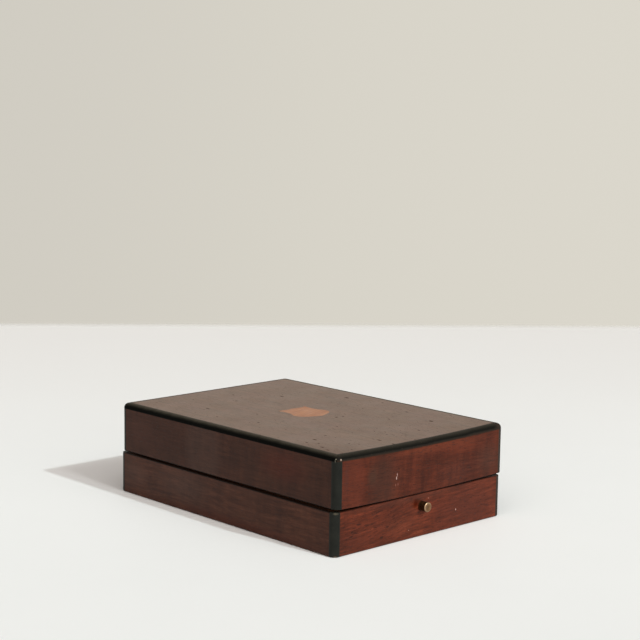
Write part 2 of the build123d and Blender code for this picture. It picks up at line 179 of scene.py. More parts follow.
class Finish(Shading):
    """One procedural finish, on coordinates in millimetres from the box's origin."""

    # The Mix node has a set of sockets for each data type. These are its sockets for colours.
    MIX_FIRST, MIX_SECOND, MIX_RESULT = 6, 7, 2

    def __init__(self, name):
        self.material = bpy.data.materials.new(name)
        super().__init__(self.material)
        self.place = self.coordinates()

    def coordinates(self, centre=(0, 0, 0), turn=0):
        """Object coordinates in millimetres, turned round Z and centred."""
        own = self.node("ShaderNodeTexCoord", {}, {}, "Object")
        angle = radians(turn)
        offset = Matrix.Rotation(-angle, 3, "Z") @ Vector(centre)
        lie = {"Location": -offset, "Rotation": (0, 0, -angle), "Scale": (1 / MM,) * 3}
        return self.node("ShaderNodeMapping", {}, {"Vector": own, **lie})

    def axis(self, name, vector=None):
        """One coordinate, X, Y or Z."""
        return self.node("ShaderNodeSeparateXYZ", {}, {0: vector or self.place}, name)

    def stretched(self, vector, x, y, z):
        """The same coordinates, multiplied axis by axis."""
        return self.vectors("MULTIPLY", vector, (x, y, z))

    def noise(self, vector, scale=1.0, detail=3.0, roughness=0.5):
        """Cloudy noise about 0.5. The scale is the number of clouds in a millimetre."""
        sockets = {"Vector": vector, "Scale": scale, "Detail": detail, "Roughness": roughness}
        return self.node("ShaderNodeTexNoise", {}, sockets)

    def spot(self, centre, size, soft, wobble=None):
        """1 inside an ellipsoid of these half sizes, falling to 0 over its soft share."""
        away = self.vectors("SUBTRACT", self.place, centre)
        reach = self.length(self.stretched(away, *(1 / half for half in size)))
        if wobble is not None:
            reach = reach + wobble
        return self.step(reach, 1.0, 1.0 - soft)

    def colour(self, factor, first, second, kind="MIX"):
        """Blends two colours by a factor."""
        settings = {"data_type": "RGBA", "blend_type": kind}
        sockets = {0: factor, self.MIX_FIRST: first, self.MIX_SECOND: second}
        return self.node("ShaderNodeMix", settings, sockets, self.MIX_RESULT)

    def shaded(self, share, colour, value, tints):
        """Multiplies a colour by tints that follow a value."""
        return self.colour(share, colour, self.ramp(value, *tints), "MULTIPLY")

    def bump(self, height, distance, under=None):
        """A normal from a height, with the distance in millimetres."""
        sockets = {"Height": height, "Distance": distance * MM, "Strength": 1.0}
        if under is not None:
            sockets["Normal"] = under
        return self.node("ShaderNodeBump", {}, sockets)

    def surface(self, varying, fixed):
        """The surface's own shader: what changes over it is linked, what doesn't is set."""
        return self.node("ShaderNodeBsdfPrincipled", {}, {**varying, **fixed})

    def shown(self, shader):
        """Ends the finish with this shader, and gives its material."""
        self.node("ShaderNodeOutputMaterial", {}, {"Surface": shader})
        return self.material


class Grain:
    """The grain of one piece of wood, on swayed coordinates, with streaks, fibres, pores and dashes."""

    def __init__(self, finish, turn, start, sway=12.0, slope=0.0):
        self.finish = finish
        lie = finish.coordinates(start, turn)
        drift = finish.noise(finish.stretched(lie, 0.012, 0.03, 0.03), detail=2.0) - 0.5
        swing = drift * sway
        lean = {"Y": swing, "Z": swing + finish.axis("X", lie) * slope}
        self.swayed = finish.vectors("SUBTRACT", lie, finish.node("ShaderNodeCombineXYZ", {}, lean))
        self.streaks = self.noise(0.040, 0.48, detail=5.0, roughness=0.62)
        self.fibres = self.noise(0.10, 3.4, detail=3.0, roughness=0.6)
        self.pores = finish.step(self.noise(0.22, 2.1, detail=1.0), 0.62, 0.72)

    def noise(self, lengthways, across, **sockets):
        """Noise on the swayed coordinates, with so many clouds in a millimetre along and across them."""
        vector = self.finish.stretched(self.swayed, lengthways, across, across)
        return self.finish.noise(vector, **sockets)

    def dashes(self):
        """Short dashes, which only some of the woods show."""
        return self.finish.step(self.noise(0.20, 1.15, detail=3.0, roughness=0.6), 0.55, 0.70)


# Walls: polished outside and bare inside. The old polish is thin, so it reflects little except at a
# low angle.
POLISH_IOR = 1.18
BARE_ROUGHNESS, POLISH_SMOOTHING = 0.52, 0.34

# Depths from the outer skin, in millimetres: where the polish and the painted shade on the rim, which
# makes the seam's gap dark, start and are full
POLISH_DEPTHS, RIM_SHADE_DEPTHS = (1.6, 0.7), (5.5, 2.0)

# Values of the noise at which the streaks have their tones, from dark to light
STREAK_PLACES = {"base": (0.30, 0.45, 0.57, 0.74), "lid": (0.22, 0.42, 0.62, 0.84)}

# Looks of the long and the short walls. The width of the painted shade along the seam is in millimetres.
LONG_WALL = {
    "streaks": ((55, 33, 26), (66, 40, 30), (73, 45, 34), (83, 52, 40)),
    "ribbon_share": {"base": 0.4, "lid": 0.55},
    "dash_tone": srgb(46, 29, 24),
    "dash_share": 0.25,
    "seam_shade_width": 0.85,
    "seam_shade_share": 0.9,
}
SHORT_WALL = {
    "streaks": ((57, 26, 17), (75, 34, 21), (86, 39, 25), (100, 48, 31)),
    "ribbon_share": {"base": 0.4, "lid": 0.9},
    "dash_tone": srgb(44, 25, 18),
    "dash_share": 0.6,
    "seam_shade_width": 0.5,
    "seam_shade_share": 0.55,
}
RIBBON_TINTS = ((0.36, (0.78, 0.80, 0.84, 1)), (0.64, (1.20, 1.15, 1.10, 1)))
FIGURE_TINTS = ((0.3, (0.74, 0.76, 0.80, 1)), (0.7, (1.16, 1.12, 1.08, 1)))
WALL_FIBRE_TINTS = ((0.3, (0.78, 0.77, 0.77, 1)), (0.7, (1.16, 1.15, 1.14, 1)))
BARE_STREAKS = ((0.3, srgb(92, 56, 37)), (0.5, srgb(124, 80, 53)), (0.72, srgb(142, 96, 66)))

# Slope of the grain and lightness, for the walls that differ from the rest
WALL_SLOPE = {"base_front_wall": 0.06, "lid_front_wall": -0.03}
WALL_LIGHT = {
    "base_front_wall": 1.09,
    "base_left_wall": 1.01,
    "lid_front_wall": 0.92,
    "lid_left_wall": 0.92,
}

# Stains and worn places by wall, with some painted shade and reflection: centre, half sizes, softness,
# share and colour
WALL_STAINS_AND_SHADE = {
    "lid_front_wall": [
        ((-64, front_skin, 44), (13, 4, 30), 0.35, 0.45, srgb(92, 43, 29)),
        ((-69, front_skin, 50), (2.5, 4, 16), 0.8, 0.55, srgb(72, 38, 30)),
        ((-36, front_skin, 42), (20, 4, 30), 0.8, 0.62, srgb(60, 37, 28)),
        ((-46, front_skin, 47), (6, 4, 9), 0.8, 0.55, srgb(60, 42, 32)),
        ((34, front_skin, 38), (26, 4, 13), 0.9, 0.35, srgb(76, 42, 33)),
        ((66, front_skin, 42), (20, 4, 16), 0.9, 0.45, srgb(74, 48, 38)),
        ((15, front_skin, 58), (62, 4, 4.5), 0.8, 0.50, srgb(108, 51, 32)),
        ((40, front_skin, 54), (22, 4, 5), 0.8, 0.40, srgb(110, 50, 31)),
    ],
    "base_front_wall": [
        ((-60, front_skin, 7), (24, 4, 9), 0.9, 0.35, srgb(72, 36, 26)),
        ((48, front_skin, 12), (44, 4, 24), 0.9, 0.55, srgb(78, 39, 29)),
        ((-20, front_skin, 10), (26, 4, 9), 0.9, 0.35, srgb(104, 52, 34)),
        # Painted shade and the knob's dark reflection, left of and above the knob
        ((-5.6, front_skin, 23.9), (3.1, 4, 5.0), 0.8, 0.85, srgb(60, 14, 4)),
        ((-2.5, front_skin, 24.4), (6.0, 4, 2.8), 0.8, 0.55, srgb(44, 24, 18)),
        # Painted shade: a darker band just below the seam
        ((-10, front_skin, 27), (70, 4, 3.5), 0.8, 0.40, srgb(76, 42, 32)),
    ],
    "lid_left_wall": [
        ((lid_left_skin, 76, 46), (4, 60, 32), 0.9, 0.45, srgb(54, 31, 23)),
        ((lid_left_skin, -62, 50), (4, 34, 15), 0.9, 0.60, srgb(76, 35, 25)),
        ((lid_left_skin, 20, 46), (4, 23, 40), 0.5, 0.30, srgb(80, 62, 55)),
        ((lid_left_skin, 92, 46), (4, 26, 14), 0.9, 0.35, srgb(72, 43, 35)),
    ],
    "base_left_wall": [
        ((left_skin, 40, 18), (4, 40, 16), 0.9, 0.30, srgb(80, 63, 56)),
        # Painted reflection: darker and redder along the bottom, where the wall mirrors the shadowed table
        ((left_skin, -20, 3), (4, 110, 5), 0.8, 0.45, srgb(74, 37, 28)),
        ((left_skin, 96, 16), (4, 22, 12), 0.9, 0.30, srgb(80, 60, 53)),
    ],
}

# Coarse dark chips: the centre, half sizes and softness of the place that has them
CHIPPED_PLACES = {"base_front_wall": ((-52, front_skin, 13), (56, 4, 24), 0.8)}

# Knocks by wall, which show pale wood or filler: centre, half sizes, softness and colour
KNOCKS = {
    "lid_front_wall": [
        ((-24.2, front_skin, 43.0), (0.48, 3, 1.6), 0.8, srgb(188, 156, 146)),
        ((-23.6, front_skin, 45.2), (0.40, 3, 1.7), 0.8, srgb(170, 134, 124)),
        ((-24.9, front_skin, 38.4), (0.35, 3, 1.3), 0.8, srgb(122, 76, 64)),
        ((-22.8, front_skin, 38.6), (0.35, 3, 1.4), 0.8, srgb(122, 76, 64)),
    ],
    "base_front_wall": [
        ((33.4, front_skin, 12.2), (0.50, 3, 0.8), 0.7, srgb(190, 146, 134)),
        ((-11.9, front_skin, 6.0), (0.45, 3, 0.3), 0.6, srgb(160, 116, 98)),
        ((6.4, front_skin, 24.6), (0.6, 3, 0.4), 0.7, srgb(150, 100, 84)),
    ],
}


def lid_rise(finish):
    """How far the warped lid stands off the base, place by place."""
    bow = finish.axis("X") / half_width
    backwards = (finish.axis("Y") + half_depth) / (2 * half_depth)
    front_gap = bow * bow * (SEAM_CORNER - SEAM_MIDDLE) + SEAM_MIDDLE
    return front_gap * (1 - backwards) + backwards * SEAM_BACK


def painted_seam_shade(finish, half, width):
    """1 on the arris along the seam, as painted shade of the seam's dark gap, and 0 from this width away.
    """
    full = 0.35 * width
    height = finish.axis("Z") - rim
    if half == "base":
        return finish.step(height, -width, -full)
    return finish.step(height - lid_rise(finish), width, full)


def wall_polish(finish, wood, node, half, look):
    """The colour of a wall's polished outside."""
    light = WALL_LIGHT.get(node, 1.0)
    tones = [srgb(*(light * value for value in tone)) for tone in look["streaks"]]
    skin = finish.ramp(wood.streaks, *zip(STREAK_PLACES[half], tones))
    ribbon = wood.noise(0.16, 0.03, detail=4.0, roughness=0.62)
    skin = finish.shaded(look["ribbon_share"][half], skin, ribbon, RIBBON_TINTS)
    figure = wood.noise(0.05, 0.03, detail=4.0, roughness=0.6)
    skin = finish.shaded(1.0, skin, figure, FIGURE_TINTS)
    for centre, size, soft, share, tint in WALL_STAINS_AND_SHADE.get(node, []):
        skin = finish.colour(finish.spot(centre, size, soft) * share, skin, tint)
    if node in CHIPPED_PLACES:
        chips = finish.step(wood.noise(0.15, 0.72, detail=4.0, roughness=0.66), 0.54, 0.63)
        chips = chips * finish.spot(*CHIPPED_PLACES[node])
        skin = finish.colour(chips * 0.75, skin, srgb(36, 21, 16))
    skin = finish.colour(wood.dashes() * look["dash_share"], skin, look["dash_tone"])
    skin = finish.shaded(0.9, skin, wood.fibres, WALL_FIBRE_TINTS)
    skin = finish.colour(wood.pores * 0.62, skin, srgb(34, 17, 13))
    # Painted shade along the seam: the arrises are made nearly black
    seam_shade = painted_seam_shade(finish, half, look["seam_shade_width"]) * look["seam_shade_share"]
    return finish.colour(seam_shade, skin, srgb(12, 8, 7))


def wall_inside(finish, wood, depth):
    """The colour of a wall's bare inside and of its rim, which is darkened near the outside as painted
    shade of the seam's gap.
    """
    bare = finish.ramp(wood.streaks, *BARE_STREAKS)
    bare = finish.colour(wood.pores * 0.6, bare, srgb(66, 38, 26))
    cloud = finish.noise(finish.place, scale=0.06, detail=4.0)
    bare = finish.colour(finish.step(cloud, 0.45, 0.75) * 0.35, bare, srgb(72, 48, 36))
    # Painted shade: the rim near the outer skin is made nearly black
    return finish.colour(finish.step(depth, *RIM_SHADE_DEPTHS) * 0.95, bare, srgb(14, 9, 8))


def wall_finish(node, start):
    """Polished wood outside, bare wood inside and a darkened rim."""
    finish = Finish(node)
    half, side = node.split("_")[:2]
    is_long = side in LONG_SIDES
    look = LONG_WALL if is_long else SHORT_WALL
    wood = Grain(finish, 90 if is_long else 0, start, slope=WALL_SLOPE.get(node, 0.0))
    if is_long:
        depth = half_width - abs(finish.axis("X") - (lid_shift if half == "lid" else 0.0))
    else:
        depth = half_depth - abs(finish.axis("Y"))
    outside = finish.step(depth, *POLISH_DEPTHS)
    polish = wall_polish(finish, wood, node, half, look)
    skin = finish.colour(outside, wall_inside(finish, wood, depth), polish)
    smears = finish.noise(finish.place, scale=0.11, detail=5.0) - 0.5
    rough = BARE_ROUGHNESS - outside * POLISH_SMOOTHING + smears * 0.12 + wood.pores * 0.12
    for centre, size, soft, tint in KNOCKS.get(node, []):
        ragged = (finish.noise(finish.place, scale=1.6, detail=2.0) - 0.5) * 1.1
        mark = finish.spot(centre, size, soft, ragged)
        skin = finish.colour(mark, skin, tint)
        rough = rough + mark * 0.3
    relief = wood.pores * -0.5 + wood.fibres * 0.25
    ripple = wood.noise(0.04, 0.14, detail=2.0)
    normal = finish.bump(ripple, 0.05, under=finish.bump(relief, 0.035))
    varying = {"Base Color": skin, "Roughness": rough, "Normal": normal}
    return finish.shown(finish.surface(varying, {"IOR": POLISH_IOR}))


# Pits in the top, where small insects or knocks have marked it: place, length along the grain, width
PITS = [
    ((-45, 56), 3.4, 1.2), ((26, 57), 3.6, 1.3), ((-11, 65), 2.2, 0.9), ((-48, -2), 2.4, 0.9),
    ((59, 22), 3.4, 1.5), ((-55, -66), 3.2, 1.5), ((47, -74), 2.8, 2.0), ((-67, -86), 3.0, 1.6),
    ((-22, -92), 3.2, 1.2), ((6, -22), 2.2, 1.1), ((12, -23), 2.0, 0.9), ((-23, -106), 2.2, 1.2),
    ((56, -42), 2.2, 1.1), ((-65, -69), 2.4, 1.0), ((-30, 20), 1.6, 0.8), ((30, -50), 1.8, 0.8),
    ((-61, -76), 1.8, 0.9), ((-70, -94), 2.0, 1.2), ((-40, -60), 2.0, 0.8), ((-14, -44), 1.8, 0.7),
    ((20, -88), 1.8, 0.9), ((66, -8), 1.8, 0.8), ((-58, 30), 1.6, 0.7), ((2, 84), 2.0, 0.9),
]

# A pit's share of its listed size, its centre's depth and half height in millimetres, and its soft share
PIT_SHARE, PIT_DEPTH, PIT_HALF_HEIGHT, PIT_SOFT = 0.85, 1.0, 3.0, 0.8

# Top: the board's colours, its coat of polish, where it is darker beside the strips, and where it has been
# rubbed
TOP_STREAKS = (
    (0.30, srgb(69, 46, 31)),
    (0.45, srgb(86, 58, 39)),
    (0.57, srgb(95, 64, 44)),
    (0.74, srgb(107, 75, 53)),
)
TOP_FIBRE_TINTS = ((0.3, (0.82, 0.81, 0.80, 1)), (0.7, (1.12, 1.12, 1.12, 1)))
TOP_COAT = 0.655
BORDER_WIDTH = 1.5
RUBBED_PLACE = ((left_skin + 12, front_skin + 12, top), (26, 40, 20), 0.9)


def top_pits(finish, wood):
    """How much the top is marked, 0 to 1, by pits and by small specks that show most where it's worn."""
    ragged = (finish.noise(finish.place, scale=0.9, detail=3.0) - 0.5) * 0.9
    pits = None
    for (x, y), length, width in PITS:
        centre = (x + lid_shift, y, top - PIT_DEPTH)
        size = (width * PIT_SHARE, length * PIT_SHARE, PIT_HALF_HEIGHT)
        pit = finish.spot(centre, size, PIT_SOFT, ragged)
        pits = pit if pits is None else pits.larger(pit)
    worn = finish.step(finish.noise(finish.place, scale=0.02, detail=3.0), 0.40, 0.62)
    specks = finish.step(wood.noise(0.30, 0.62, detail=1.5), 0.70, 0.76) * (0.35 + worn * 0.65)
    return pits.larger(specks * 0.9)


def top_border(finish):
    """1 beside the front and left strips, where the board is made darker and less glossy."""
    from_left = finish.axis("X") - (lid_left_skin + strip_width)
    from_front = finish.axis("Y") - (front_skin + strip_width)
    return finish.step(from_left.smaller(from_front), BORDER_WIDTH, 0.0)


def top_finish():
    """The lid's top: browner wood under a satin coat of polish, which is lost in the pits."""
    finish = Finish("top_board")
    wood = Grain(finish, 90, (0, 0, 0), sway=8.0)
    dashes = wood.dashes()
    pits = top_pits(finish, wood)
    rubbed = finish.spot(*RUBBED_PLACE)
    border = top_border(finish)
    skin = finish.ramp(wood.streaks, *TOP_STREAKS)
    cloud = finish.noise(finish.place, scale=0.03, detail=5.0, roughness=0.6)
    skin = finish.colour(finish.step(cloud, 0.40, 0.66) * 0.35, skin, srgb(100, 66, 54))
    skin = finish.shaded(0.8, skin, wood.fibres, TOP_FIBRE_TINTS)
    skin = finish.colour(dashes * 0.35, skin, srgb(58, 38, 27))
    skin = finish.colour(wood.pores * 0.4, skin, srgb(44, 28, 20))
    skin = finish.colour(pits * 0.9, skin, srgb(34, 22, 16))
    skin = finish.colour(rubbed * 0.4, skin, srgb(72, 46, 32))
    skin = finish.colour(border * 0.75, skin, srgb(36, 29, 23))
    smear = finish.noise(finish.place, scale=0.045, detail=5.0, roughness=0.6) - 0.5
    coat = TOP_COAT + smear * 0.6 + (wood.fibres - 0.5) * 0.35 - wood.pores * 0.25 - dashes * 0.12
    coat = coat - pits * 0.9 - rubbed * 0.16 - border * 0.4
    rough = 0.5 + smear * 0.2 + pits * 0.3
    relief = pits * -3.0 + wood.pores * -0.4 + wood.fibres * 0.2
    wave = wood.noise(0.012, 0.03, detail=1.0)
    normal = finish.bump(wave, 0.25, under=finish.bump(relief, 0.06))
    varying = {"Base Color": skin, "Roughness": rough, "Normal": normal, "Coat Weight": coat.larger(0.0)}
    fixed = {"IOR": 1.15, "Coat IOR": 1.38, "Coat Roughness": 0.28}
    return finish.shown(finish.surface(varying, fixed))


# Strips: places where the black stain has been knocked or rubbed off, and one painted reflection, as
# (centre, half sizes, colour)
BARE_AND_SHEEN_PLACES = [
    ((lid_left_skin + 3.7, front_skin + 0.4, top - 2.6), (0.8, 1.1, 0.7), srgb(150, 130, 116)),
    ((lid_left_skin + 1.0, front_skin + 1.6, top - 2.0), (0.6, 0.8, 0.6), srgb(110, 104, 90)),
    ((lid_left_skin + 0.6, front_skin + 1.9, top - 3.4), (0.4, 0.6, 1.1), srgb(84, 80, 70)),
    ((left_skin + 1.6, front_skin + 0.9, rim - 0.6), (2.2, 2.0, 0.9), srgb(72, 66, 54)),
    ((left_skin + 1.8, front_skin + 0.8, 0.4), (1.4, 1.2, 0.6), srgb(124, 102, 84)),
    ((half_width - 1.4, front_skin + 1.0, rim - 0.2), (1.3, 1.2, 0.5), srgb(112, 86, 70)),
    # Painted reflection: the whole front right corner strip made lighter, for the bright room it mirrors
    # at a low angle
    ((half_width - 1.0, front_skin + 1.5, 32), (8, 8, 90), srgb(50, 41, 36)),
]
BARE_SOFTNESS = 0.6

# Blacks from dark to light, and a top strip's colours by depth below its upper edge, in millimetres:
# painted sheen on its rounded upper part, and on the front strip a painted highlight along its lower edge
BLACK = srgb(5, 5, 4)
TOP_BLACKS = (srgb(4, 4, 3), srgb(7, 7, 6), srgb(14, 13, 11))
CORNER_BLACKS = (srgb(17, 18, 15), srgb(24, 25, 21), srgb(34, 34, 29))
BLACK_PLACES = (0.3, 0.55, 0.75)
STRIP_DEPTH = 3.8
SIDE_STRIP_SHEEN = ((0.0, srgb(56, 51, 43)), (0.7, srgb(31, 29, 24)), (1.5, BLACK), (STRIP_DEPTH, BLACK))
FRONT_STRIP_SHEEN = (
    (0.0, srgb(43, 39, 33)),
    (0.8, srgb(26, 24, 20)),
    (1.7, srgb(14, 13, 11)),
    (2.5, srgb(34, 31, 27)),
    (3.4, srgb(50, 36, 28)),
)


def strip_finish(name, blacks, ior, base_roughness, painted_sheen=None):
    """Black stained hardwood with brown rubbed spots and pale knocks, and where given, painted sheen and
    highlight by depth below the top edge.
    """
    finish = Finish(name)
    soft = finish.noise(finish.place, scale=0.12, detail=5.0, roughness=0.62)
    fine = finish.noise(finish.place, scale=1.4, detail=3.0, roughness=0.6)
    black = finish.ramp(soft, *zip(BLACK_PLACES, blacks))
    if painted_sheen:
        # Painted sheen and highlight, by depth below the strip's upper edge
        below = lid_rise(finish) - finish.axis("Z") + (top - SEAM_CORNER)
        stops = [(depth / STRIP_DEPTH, tint) for depth, tint in painted_sheen]
        worn = finish.ramp((below + (soft - 0.5) * 1.2) / STRIP_DEPTH, *stops)
        black = finish.colour(0.85, black, worn)
    rubbed = finish.step(soft * 0.55 + fine * 0.45, 0.60, 0.72)
    black = finish.colour(rubbed * 0.5, black, srgb(48, 38, 30))
    specks = finish.step(finish.noise(finish.place, scale=0.7, detail=2.0), 0.72, 0.78)
    black = finish.colour(specks * 0.6, black, srgb(70, 58, 46))
    ragged = (fine - 0.5) * 1.9
    bare = None
    # Bare places, and the painted reflection on the front right corner strip
    for centre, size, tint in BARE_AND_SHEEN_PLACES:
        mark = finish.spot(centre, size, BARE_SOFTNESS, ragged)
        black = finish.colour(mark * 0.85, black, tint)
        bare = mark if bare is None else bare.larger(mark)
    rough = base_roughness + (soft - 0.5) * 0.25 + rubbed * 0.12 + bare * 0.3
    relief = soft * 0.6 + fine * 0.25 - bare * 0.8 - specks * 0.5
    varying = {"Base Color": black, "Roughness": rough, "Normal": finish.bump(relief, 0.12)}
    return finish.shown(finish.surface(varying, {"IOR": ior}))


# Shield and bottom board
SHIELD_STREAKS = ((0.3, srgb(135, 79, 46)), (0.5, srgb(153, 95, 58)), (0.72, srgb(168, 111, 70)))
SHIELD_FIBRE_TINTS = ((0.3, (0.88, 0.86, 0.84, 1)), (0.7, (1.08, 1.08, 1.08, 1)))
BOARD_STREAKS = ((0.3, srgb(112, 78, 50)), (0.5, srgb(146, 106, 70)), (0.75, srgb(166, 126, 88)))


def shield_finish():
    """The inlay: paler, redder wood with its grain nearly across the box."""
    finish = Finish("shield")
    wood = Grain(finish, 20, (31, 12, 5), sway=3.0)
    skin = finish.ramp(wood.streaks, *SHIELD_STREAKS)
    skin = finish.shaded(0.8, skin, wood.fibres, SHIELD_FIBRE_TINTS)
    skin = finish.colour(wood.pores * 0.3, skin, srgb(110, 58, 36))
    rough = 0.36 + (finish.noise(finish.place, scale=0.1, detail=4.0) - 0.5) * 0.2
    normal = finish.bump(wood.fibres * 0.3 - wood.pores * 0.5, 0.04)
    varying = {"Base Color": skin, "Roughness": rough, "Normal": normal}
    return finish.shown(finish.surface(varying, {"IOR": 1.36}))


def board_finish():
    """The bottom board: planed softwood, bare, darkened by handling."""
    finish = Finish("bottom_board")
    wood = Grain(finish, 90, (7, 40, 3), sway=14.0)
    skin = finish.ramp(wood.streaks, *BOARD_STREAKS)
    cloud = finish.noise(finish.place, scale=0.02, detail=5.0, roughness=0.6)
    skin = finish.colour(finish.step(cloud, 0.42, 0.7) * 0.5, skin, srgb(92, 66, 46))
    skin = finish.colour(wood.pores * 0.5, skin, srgb(78, 50, 32))
    rough = 0.62 + (cloud - 0.5) * 0.2
    normal = finish.bump(wood.fibres * 0.6 - wood.pores * 0.8, 0.08)
    varying = {"Base Color": skin, "Roughness": rough, "Normal": normal}
    return finish.shown(finish.surface(varying, {"IOR": 1.45}))


def baize_finish():
    """Green wool baize: a short matted nap, faded in patches, with pale lint."""
    finish = Finish("baize")
    nap = finish.noise(finish.place, scale=3.2, detail=4.0, roughness=0.7)
    weave = finish.noise(finish.place, scale=1.1, detail=2.0)
    wool = finish.ramp(nap, (0.3, srgb(20, 48, 34)), (0.55, srgb(34, 74, 52)), (0.8, srgb(58, 102, 74)))
    faded = finish.noise(finish.place, scale=0.03, detail=5.0, roughness=0.6)
    wool = finish.colour(finish.step(faded, 0.42, 0.75) * 0.28, wool, srgb(64, 94, 64))
    lint = finish.step(finish.noise(finish.stretched(finish.place, 0.5, 1.7, 1.0), detail=1.0), 0.74, 0.79)
    wool = finish.colour(lint * 0.5, wool, srgb(120, 132, 110))
    rough = 0.9 + (weave - 0.5) * 0.1
    normal = finish.bump(nap * 0.7 + weave * 0.5, 0.28)
    varying = {"Base Color": wool, "Roughness": rough, "Normal": normal}
    fixed = {"IOR": 1.4, "Sheen Weight": 0.3, "Sheen Roughness": 0.4}
    return finish.shown(finish.surface(varying, fixed))


# Metals: clean, dull and tarnished tones
BRASS = (srgb(168, 132, 80), srgb(118, 92, 54), srgb(56, 43, 29))
STEEL = (srgb(136, 136, 138), srgb(96, 94, 92), srgb(60, 48, 40))
METAL = {"Metallic": 1.0, "IOR": 1.5}


def metal_finish(name, clean, dull, tarnish, base_roughness):
    """Old metal: clean on the rubbed places, dull elsewhere, with dark tarnish in patches."""
    finish = Finish(name)
    cloud = finish.noise(finish.place, scale=0.35, detail=5.0, roughness=0.62)
    fine = finish.noise(finish.place, scale=2.8, detail=4.0, roughness=0.6)
    metal = finish.ramp(cloud, (0.32, dull), (0.62, clean))
    spots = finish.step(cloud * 0.5 + fine * 0.5, 0.56, 0.68)
    metal = finish.colour(spots * 0.6, metal, tarnish)
    scratches = finish.noise(finish.stretched(finish.place, 0.6, 6.0, 6.0), detail=2.0)
    rough = base_roughness + (fine - 0.5) * 0.25 + spots * 0.2
    normal = finish.bump(fine * 0.4 + scratches * 0.3, 0.03)
    return finish.shown(finish.surface({"Base Color": metal, "Roughness": rough, "Normal": normal}, METAL))


# Push button, turned: stem, collar and a stub with a rounded lip round a shallow dish, in millimetres
button_low, button_high = (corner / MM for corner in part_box("push_button"))
button_z = (button_low.z + button_high.z) / 2
BUTTON_RADIUS, COLLAR_RADIUS, STEM_RADIUS = 3.25, 4.6, 1.5
LIP_WIDTH, DISH_DEPTH, WORN_EDGE = 0.7, 0.35, 0.35
COLLAR_BACK, COLLAR_THICKNESS = 4.65, 1.2
COLLAR_EASE, STEM_EASE = 0.15, 0.2
RING_PITCH = 0.35
ROUND_SIDES = 96
ARC_STEPS = 6
DISH_SHARES = (1.0, 0.92, 0.8, 0.65, 0.45, 0.25, 0.05)
STUB_START, STUB_STEP, STUB_RINGS = 0.6, 0.5, 9
lip_radius = BUTTON_RADIUS - LIP_WIDTH


def button_finish():
    """Turned brass: a rubbed lip with painted shade on its lower right, a dull dish within it and a side
    that is nearly black with tarnish and painted shade.
    """
    finish = Finish("button_brass")
    radius = finish.length(finish.stretched(finish.coordinates((0, 0, button_z)), 1, 0, 1))
    cloud = finish.noise(finish.place, scale=0.5, detail=5.0, roughness=0.62)
    fine = finish.noise(finish.place, scale=2.8, detail=4.0, roughness=0.6)
    dish = finish.ramp(cloud, (0.35, srgb(112, 82, 57)), (0.62, srgb(136, 104, 74)))
    lip = finish.step(radius, lip_radius - 0.25, lip_radius + 0.1)
    rubbed = finish.ramp(fine, (0.35, srgb(150, 120, 92)), (0.65, srgb(178, 150, 120)))
    metal = finish.colour(lip, dish, rubbed)
    # Painted shade on the lip's lower right, away from the light
    slant = finish.axis("Z") * 0.8 - finish.axis("X") * 0.6
    lip_shade = finish.step(slant, button_z * 0.8 + 1.6, button_z * 0.8 - 1.8)
    metal = finish.colour(lip * lip_shade * 0.8, metal, srgb(122, 92, 68))
    # The side: tarnish, made darker still as painted shade
    side = finish.step(finish.axis("Y"), button_low.y + 0.2, button_low.y + 0.55)
    tarnish = finish.ramp(cloud, (0.35, srgb(66, 46, 28)), (0.65, srgb(98, 72, 48)))
    metal = finish.colour(side, metal, tarnish)
    rings = (radius * (2 * pi / RING_PITCH)).sine()
    rough = 0.34 + (fine - 0.5) * 0.25 + side * 0.1
    normal = finish.bump(fine * 0.4 + rings * 0.5, 0.02)
    return finish.shown(finish.surface({"Base Color": metal, "Roughness": rough, "Normal": normal}, METAL))


def dress(name, material):
    """Gives a piece its finish."""
    for place in bpy.data.objects[name].material_slots:
        place.material = material


# Each wall's grain starts at a place of its own, so that no two look alike
for half_name in HALVES:
    for number, side_name in enumerate(SIDES):
        wall_name = f"{half_name}_{side_name}_wall"
        grain_start = (37 * number, 23 * number, 61 if half_name == "lid" else 0)
        dress(wall_name, wall_finish(wall_name, grain_start))
side_black = strip_finish("side_top_strips", TOP_BLACKS, 1.09, 0.5, SIDE_STRIP_SHEEN)
front_black = strip_finish("front_top_strip", TOP_BLACKS, 1.09, 0.5, FRONT_STRIP_SHEEN)
corner_black = strip_finish("corner_strips", CORNER_BLACKS, 1.22, 0.4)
for corner_name in CORNERS:
    for half_name in HALVES:
        dress(f"{half_name}_corner_edging_{corner_name}", corner_black)
for side_name in SIDES:
    dress(f"lid_top_edging_{side_name}", front_black if side_name == "front" else side_black)
dress("lid_top_board", top_finish())
dress("shield_inlay", shield_finish())
dress("base_bottom_board", board_finish())
baize = baize_finish()
brass = metal_finish("aged_brass", *BRASS, 0.38)
steel = metal_finish("spring_steel", *STEEL, 0.42)
button_brass = button_finish()
for node_name in nodes:
    if node_name.startswith(("hinge_", "keeper_", "catch_hook", "catch_spring_screws")):
        dress(node_name, brass)


# How new pieces are made
def begin(primitive, centre, **shape):
    """Adds a primitive with nothing else selected. Its centre is in millimetres."""
    bpy.ops.object.select_all(action="DESELECT")
    primitive(location=Vector(centre) * MM, **shape)


def pick(chosen):
    """In edit mode, selects the vertices for which chosen is true, and nothing else."""
    bpy.ops.mesh.select_mode(type="VERT")
    bpy.ops.mesh.select_all(action="DESELECT")
    bpy.ops.object.mode_set(mode="OBJECT")
    for vertex in bpy.context.object.data.vertices:
        vertex.select = chosen(vertex.co)
    bpy.ops.object.mode_set(mode="EDIT")


def pull(y, z):
    """In edit mode, extrudes what is selected by a step in millimetres."""
    bpy.ops.mesh.extrude_region_move(TRANSFORM_OT_translate={"value": (0, y * MM, z * MM)})


